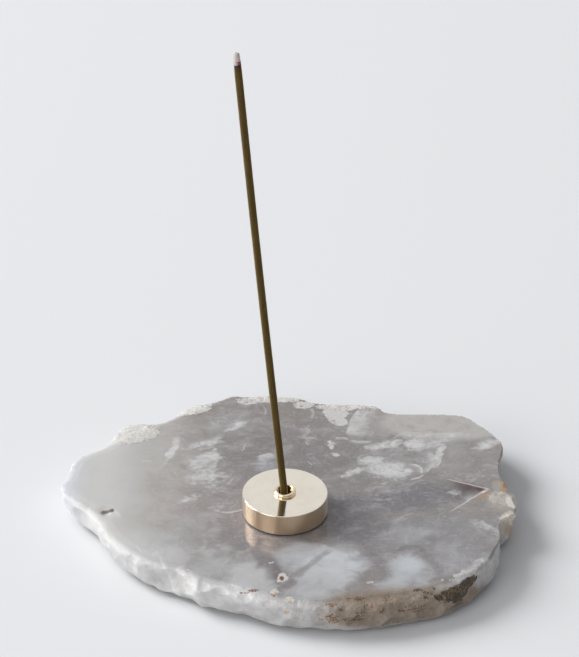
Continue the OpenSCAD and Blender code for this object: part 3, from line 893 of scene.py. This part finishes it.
def brass_finish(name, top_tone, side_shade_tone, gloss, groove, spread):
    """Turned brass. The tool's marks run round the axis, and a few handling marks dull them. The side of the
    disc carries painted shade and reflection: a darker, browner tone than the top, dulled a little more.

    Gloss is its least roughness, groove the depth of the marks in millimetres, and spread how much rougher
    the side of the disc is.
    """
    f = material(name)
    place = f.place() - (HOLDER.x, HOLDER.y, 0)
    x, y, z = f.split(place)
    radius = f.maths("SQRT", x * x + y * y)
    side = f.smooth(radius, DISC_RADIUS - 0.3, DISC_RADIUS - 0.05)
    side = side * f.smooth(z, DISC_HIGH.z - 0.05, DISC_HIGH.z - 0.4)
    marks = f.cloud(f.joined(radius * 9, z * 9, 0), 1, 3, 0.7)
    broad = f.cloud(f.joined(radius * 1.6, z * 1.6, 3), 1, 1)
    smudge = f.cloud(place, 9, 3, 0.6)
    # The side's darker, browner tone is painted shade and reflection; the metal itself is the same pale
    # brass as the top
    colour = f.blend(side, top_tone, side_shade_tone)
    marks_and_side_shade = f.smooth(smudge, 0.35, 0.7, 0.16) + f.smooth(marks, 0.35, 0.7, 0.1) + side * 0.2
    colour = f.blend(marks_and_side_shade, colour, dimmed(side_shade_tone, 0.9))
    return f.surface(
        Base_Color=colour, Metallic=1.0, Normal=f.relief(marks * 0.7 + broad * 0.3, groove),
        Anisotropic=0.85, Anisotropic_Rotation=0.25, Sheen_Weight=1.0, Sheen_Roughness=0.3,
        Roughness=gloss + side * spread + marks * 0.04 + f.smooth(smudge, 0.4, 0.75, 0.04))


def disc_outline():
    """The disc's section: sharp foot, fine bevel and a flat top that is let in for the bead."""
    foot, top, radius, bevel = DISC_LOW.z, DISC_HIGH.z, DISC_RADIUS, 0.28
    bore, floor = 2.02, foot + 1
    socket, ledge = bore + 0.6, top - 3.9
    return [
        (0, foot), (radius - 0.5, foot), (radius - 0.2, foot), (radius, foot + 0.2), (radius, foot + 0.45),
        (radius, top - 0.5), (radius, top - bevel), *arc(radius - bevel, top - bevel, bevel, 15, 75, 4),
        (radius - bevel, top), (radius - 0.5, top), (bore + 1.9, top),
        (socket, top), (socket, ledge), (bore, ledge), (bore, floor), (0, floor)]


def bead_outline():
    """The bead's section: a round lip over the disc, and the sleeve pressed into it."""
    foot, top, bore, crown = FERRULE_LOW.z + 0.02, DISC_HIGH.z, 2.0, 0.62
    sleeve, rim = bore + 0.58, (FERRULE_HIGH.x - FERRULE_LOW.x) / 2
    return [
        (sleeve, foot), (sleeve, top), (rim - 0.3, top), (rim - 0.12, top + 0.1),
        *arc(rim - crown, FERRULE_HIGH.z - crown, crown, -25, 150, 28),
        (bore + 0.42, top + 0.2), (bore + 0.06, top - 0.5), (bore, top - 0.7), (bore, foot)]


# The satin disc's second tone is its side's painted shade and reflection, darker and browner than the top
satin = brass_finish("satin_brass_turned", (0.86, 0.8, 0.7, 1), (0.75, 0.57, 0.39, 1), 0.06, 0.005, 0.2)
polished = brass_finish("polished_brass_bead", (0.84, 0.68, 0.47, 1), (0.86, 0.7, 0.5, 1), 0.03, 0.002, 0.0)
piece("turned_disc", turned("turned_disc", disc_outline(), HOLDER), satin, "holder",
      "holder_disc")
piece("hole_bead", turned("hole_bead", bead_outline(), HOLDER, 128), polished, "holder",
      "holder_ferrule")


# ---- pad and feet -------------------------------------------------------------------------------

def pad_finish():
    """Dark felt under the disc; its near-black tone also stands in for the contact shadow at the disc's
    foot.
    """
    f = material("dark_felt_contact_shadow")
    place = f.place()
    fibres = f.cloud(place, 0.35, 4, 0.7, Distortion=1.0)
    tufts = f.cloud(place, 1.4, 2)
    # Near-black felt, partly painted contact shadow along the disc's foot
    colour = f.blend(fibres, shade(30, 29, 28), shade(64, 61, 58))
    colour = f.blend(f.smooth(tufts, 0.4, 0.7, 0.4), colour, shade(44, 41, 39))
    return f.surface(Base_Color=colour, Roughness=0.95, Sheen_Weight=0.3, Normal=f.relief(fibres, 0.15))


def foot_finish():
    """Clear rubber bumpers, slightly milky and dusty at the rim."""
    f = material("clear_bumper")
    dust = f.cloud(f.place(), 1.2, 4, 0.7)
    colour = f.blend(f.smooth(dust, 0.45, 0.7), shade(226, 230, 232), shade(196, 198, 198))
    return f.surface(Base_Color=colour, Roughness=0.18 + f.smooth(dust, 0.4, 0.75, 0.3),
                     Transmission_Weight=0.6, IOR=1.48, Normal=f.relief(dust, 0.05))


def repaint(node, finish):
    for slot in frame["nodes"][node].material_slots:
        slot.material = finish


repaint("holder_pad", pad_finish())
clear = foot_finish()
for corner in ("front_left", "front_right", "rear_left", "rear_right"):
    repaint("foot_" + corner, clear)


# ---- incense ------------------------------------------------------------------------------------

STICK_FOOT, STICK_END, FOOT_MIDDLE = along_stick("incense_stick")
EMBER_FOOT, EMBER_END, _ = along_stick("ember_tip")
ASH_FOOT, ASH_END, _ = along_stick("ash_tip")
STICK_LENGTH = STICK_END - STICK_FOOT
STICK_RADIUS = 1.35
# How high above the stick's foot the ember and the ash begin
EMBER_START, ASH_START = EMBER_FOOT - STICK_FOOT, ASH_FOOT - STICK_FOOT
# Two directions across the stick, square to each other
SIDE = LEAN.cross(Vector((0, 1, 0))).normalized()
BACK = LEAN.cross(SIDE)
# The share of its radius by which a hand-rolled rod is ridged
RIDGES = 0.022


def rod(name, levels, grooves, seed, segments=40):
    """A hand-rolled rod along the stick's axis. Each level is (height, radius, sideways shift)."""
    points, faces = [], []
    for height, radius, shift in levels:
        for step in range(segments):
            angle = 2 * math.pi * step / segments
            cosine, sine = math.cos(angle), math.sin(angle)
            out = SIDE * cosine + BACK * sine
            spot = Vector((cosine * 1.2, sine * 1.2, height * 0.06))
            ridge = noise.noise(spot * grooves + Vector((seed, 0, 0)))
            lump = noise.noise(Vector((cosine, sine, height * 0.8)) * 1.7 + Vector((0, seed, 0)))
            wide = radius * (1 - RIDGES + RIDGES * ridge) + 0.02 * lump * min(1, radius)
            points.append(FOOT_MIDDLE + LEAN * height + out * wide + SIDE * shift)
    rows = len(levels)
    for row in range(rows - 1):
        for step in range(segments):
            after = (step + 1) % segments
            faces.append((row * segments + step, row * segments + after,
                          (row + 1) * segments + after, (row + 1) * segments + step))
    faces.append(tuple(reversed(range(segments))))
    faces.append(tuple((rows - 1) * segments + step for step in range(segments)))
    return mesh_from(name, points, faces)


def bow(height):
    """A slight bend of the dried stick: nothing at its foot and at its tip."""
    straight = 10
    share = min(1, max(0, (height - straight) / (STICK_LENGTH - straight)))
    return 0.28 * math.sin(math.pi * share)


def incense_finish():
    """Extruded incense paste: olive brown with fine long striations, scorched just under the ember."""
    f = material("incense_paste")
    place = f.place() - tuple(FOOT_MIDDLE)
    height = f.dot(place, tuple(LEAN))
    round_x, round_y = f.dot(place, tuple(SIDE)), f.dot(place, tuple(BACK))
    strands = f.cloud(f.joined(round_x * 5, round_y * 5, height * 0.12), 1, 4, 0.65)
    powder = f.cloud(place, 0.28, 4, 0.75)
    colour = f.blend(f.smooth(strands, 0.3, 0.7), shade(60, 45, 10), shade(90, 70, 24))
    colour = f.blend(f.smooth(powder, 0.52, 0.72, 0.5), colour, shade(126, 104, 50))
    colour = f.blend(f.smooth(powder, 0.46, 0.3, 0.6), colour, shade(36, 26, 11))
    scorch = f.smooth(height + (powder - 0.5) * 1.6, STICK_LENGTH - 2.6, STICK_LENGTH - 0.2)
    colour = f.blend(scorch, colour, shade(62, 44, 36))
    return f.surface(
        Base_Color=colour, Roughness=0.66 + powder * 0.2, Specular_IOR_Level=0.2,
        Sheen_Weight=1.0, Sheen_Roughness=0.36, Sheen_Tint=(1, 0.88, 0.6, 1),
        Normal=f.relief(strands * 0.6 + powder * 0.4, 0.09))


def ember_finish():
    """Charred paste that glows through a skin of ash."""
    f = material("glowing_ember")
    place = f.place()
    crust = f.cloud(place, 0.5, 4, 0.7)
    height = f.dot(place - tuple(FOOT_MIDDLE), tuple(LEAN))
    beside = f.dot(place - tuple(FOOT_MIDDLE), tuple(SIDE))
    glow = f.smooth(crust, 0.42, 0.62) * f.smooth(height, EMBER_START, EMBER_START + 0.5)
    dusted = f.smooth(beside + (crust - 0.5) * 2.4, -0.5, 0.5)
    colour = f.blend(dusted, f.blend(glow, shade(92, 52, 52), shade(176, 104, 100)), shade(200, 178, 174))
    light = f.blend(dusted, f.blend(glow, shade(60, 10, 4), shade(200, 76, 56)), shade(20, 4, 2))
    return f.surface(Base_Color=colour, Roughness=0.85, Emission_Color=light, Emission_Strength=0.2,
                     Normal=f.relief(crust, 0.2))


def ash_finish():
    """Pale, flaky ash with a hint of pink near the ember."""
    f = material("pale_ash")
    place = f.place()
    flakes = f.cells(place, 0.55)
    powder = f.cloud(place, 0.4, 4, 0.7)
    height = f.dot(place - tuple(FOOT_MIDDLE), tuple(LEAN)) - ASH_START
    colour = f.blend(powder, shade(190, 178, 178), shade(226, 216, 214))
    colour = f.blend(f.smooth(height, 1.2, 0.1, 0.5), colour, shade(206, 164, 160))
    colour = f.blend(f.smooth(flakes, 0.55, 0.85, 0.5), colour, shade(128, 114, 114))
    return f.surface(Base_Color=colour, Roughness=0.97, Normal=f.relief(flakes + powder, 0.18))


def stick_levels():
    """The stick, with a softened foot and a tip that narrows a little under the ember."""
    levels = [(0, STICK_RADIUS - 0.12, 0), (0.08, STICK_RADIUS - 0.02, 0)]
    height, tip, steps = 0.5, 5.5, 12
    while height < STICK_LENGTH - 6:
        levels.append((height, STICK_RADIUS, bow(height)))
        height += 1.6
    for step in range(steps + 1):
        share = step / steps
        height = STICK_LENGTH - tip + tip * share
        radius = STICK_RADIUS - 0.1 * share ** 2 - (0.05 if step == steps else 0)
        levels.append((height, radius, bow(height)))
    return levels


def ember_levels():
    """The glowing band, which narrows a little towards the ash."""
    return [(EMBER_START + (EMBER_END - EMBER_FOOT) * share, 1.32 - 0.1 * share, 0)
            for share in (0, 0.15, 0.3, 0.45, 0.6, 0.8, 1)]


def ash_levels():
    """The standing ash: slightly shrunk, with cracks across it and a rounded end."""
    length, steps = ASH_END - ASH_FOOT, 18
    levels = []
    for step in range(steps + 1):
        share = step / steps
        crack = 0.07 if step in (5, 6, 11) else 0
        cap = math.sqrt(max(0.0, 1 - max(0, (share - 0.72) / 0.28) ** 2))
        radius = (1.22 - 0.1 * share - crack) * (0.35 + 0.65 * cap) - 0.02
        levels.append((ASH_START + length * share * 0.985, radius, 0.02 * step / steps))
    return levels


piece("incense_body", rod("incense_body", stick_levels(), 6, 4), incense_finish(), "stick",
      "incense_stick")
piece("ember_band", rod("ember_band", ember_levels(), 4, 9), ember_finish(), "stick", "ember_tip")
piece("ash_cap", rod("ash_cap", ash_levels(), 3, 15), ash_finish(), "stick", "ash_tip")


# ---- studio -------------------------------------------------------------------------------------

# The pale room: its colour, how bright it lights the part, and how bright it is where it is seen
AIR, AMBIENT, SEEN = (0.97, 0.98, 1, 1), 0.46, 0.88
# The floor, in millimetres: half its width, and between which distances it turns into the room
FLOOR_REACH, FADE_FROM, FADE_TO = 3000, 700, 2600
# What the lamps point at, in metres
LIT = Vector((0, 0, 0.03))


def pale_floor():
    """A matt floor. Far off, where the camera sees it, it turns into the colour of the room."""
    reach = FLOOR_REACH
    floor = placed("floor", mesh_from(
        "floor", [(-reach, -reach, 0), (reach, -reach, 0), (reach, reach, 0), (-reach, reach, 0)],
        [(0, 1, 2, 3)]))
    f = material("pale_floor")
    x, y, _ = f.split(f.place())
    far = f.smooth(x * x + y * y, FADE_FROM ** 2, FADE_TO ** 2)
    far = far * f.node("ShaderNodeLightPath", output="Is Camera Ray")
    nothing = (0, 0, 0, 1)
    floor.data.materials.append(f.surface(
        Base_Color=f.blend(far, shade(228, 229, 231), nothing), Roughness=0.9, Specular_IOR_Level=0.0,
        Emission_Color=f.blend(far, nothing, dimmed(AIR, SEEN)), Emission_Strength=1.0))


def softboxes():
    """Soft lamps on the left and in front: width and height in metres, watts, spread and place."""
    for name, wide, tall, power, spread, where in (
            ("softbox_left", 4.0, 4.0, 170.0, 120, (-4.8, 2.1, 3.8)),
            ("softbox_front", 4.4, 4.4, 57.6, 120, (-4.0, -4.0, 2.26)),
            ("softbox_low", 3.6, 1.4, 7.4, 90, (-5.0, -0.1, 0.84))):
        lamp = bpy.data.lights.new(name, "AREA")
        lamp.shape, lamp.size, lamp.size_y, lamp.energy = "ELLIPSE", wide, tall, power
        lamp.spread = math.radians(spread)
        softbox = placed(name, lamp)
        softbox.location = where
        softbox.visible_camera = False
        softbox.rotation_euler = (LIT - softbox.location).to_track_quat("-Z", "Y").to_euler()


def pale_room():
    """The room is darker to the right, and polished pieces mirror the unlit side in front of them."""
    room = bpy.data.worlds.new("room")
    bpy.context.scene.world = room
    w = Finish(room)
    camera_ray = w.node("ShaderNodeLightPath", output="Is Camera Ray")
    glossy_ray, clear_ray = (
        Tone(w, camera_ray.socket.node.outputs[f"Is {kind} Ray"]) for kind in ("Glossy", "Transmission"))
    seen = w.larger(camera_ray, w.larger(glossy_ray, clear_ray))
    right, back, up = w.split(w.node("ShaderNodeTexCoord", output="Generated"))
    shadowed = w.smooth(right, -0.1, 0.95) * (1 - camera_ray)
    unlit = w.smooth(back, -0.15, -0.6) * w.smooth(up, 0.8, 0.35) * glossy_ray
    light = w.node("ShaderNodeBackground", sockets={
        "Color": AIR, "Strength": AMBIENT + seen * (SEEN - AMBIENT) - shadowed * 0.26 - unlit * 0.5})
    w.node("ShaderNodeOutputWorld", sockets={"Surface": light})


def camera():
    """Stands in front of the holder, 1.1 m away and 35 degrees above it."""
    lens = bpy.data.cameras.new("camera")
    lens.sensor_width, lens.lens = 36, 171.12
    lens.clip_start, lens.clip_end = 0.01, 50
    eye = placed("camera", lens)
    from_holder, look_down = Vector((1.6, -903.7, 627.2)), 31.76
    eye.location = (Vector((HOLDER.x, HOLDER.y, DISC_HIGH.z)) + from_holder) * MM
    eye.rotation_euler = (math.radians(90 - look_down), 0, 0)
    bpy.context.scene.camera = eye


pale_floor()
softboxes()
pale_room()
bpy.context.scene.view_settings.view_transform = "Standard"
camera()
